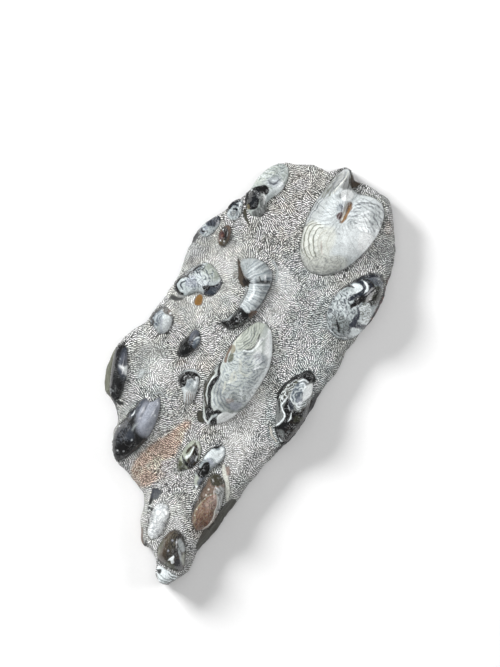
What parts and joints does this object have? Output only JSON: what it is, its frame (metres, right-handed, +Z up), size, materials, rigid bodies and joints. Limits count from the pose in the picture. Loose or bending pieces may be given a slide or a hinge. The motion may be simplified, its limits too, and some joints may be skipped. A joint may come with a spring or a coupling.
{
  "type": "ammonite fossil plate",
  "caption": "Long plate of grey limestone with a chisel-carved face and polished ammonites of many sizes standing out of it, lying on its flat sawn back.",
  "frame": {"origin": "middle of the bounding box, at the level of the flat sawn back that the plate lies on", "axes": "+Y along the plate towards its broad end with the greatest ammonite, +Z up out of the carved face, +X across"},
  "size_m": [0.2105, 0.4552, 0.0563],
  "materials": {
    "matrix": "dark grey limestone, covered in short pale chisel strokes, matt",
    "pale_shell": "cream and grey calcite, polished to a high gloss",
    "marbled_shell": "black, grey and white marbled calcite, polished to a high gloss",
    "dark_shell": "blue-black calcite with pale patches, polished to a high gloss",
    "brown_shell": "brown and pink calcite with pale rings, polished to a high gloss"
  },
  "bodies": {
    "root": {"matrix": "matrix", "ammonite_great": "pale_shell", "ammonite_right_edge": "marbled_shell", "ammonite_centre": "pale_shell", "ammonite_horn": "marbled_shell", "ammonite_lower_right": "marbled_shell", "ammonite_left_shoulder": "dark_shell", "ammonite_left_hip": "dark_shell", "ammonite_top_left": "marbled_shell", "ammonite_winged": "marbled_shell", "ammonite_small_dark": "dark_shell", "ammonite_little_shell": "marbled_shell", "ammonite_left_swirl": "marbled_shell", "ammonite_left_blue": "marbled_shell", "ammonite_red_heart": "brown_shell", "ammonite_left_notch": "marbled_shell", "ammonite_folded": "marbled_shell", "ammonite_white_swirl": "marbled_shell", "ammonite_brown_oval": "brown_shell", "ammonite_pale_flush": "pale_shell", "ammonite_tail_dome": "dark_shell", "ammonite_tip": "marbled_shell"}
  },
  "joints": []
}
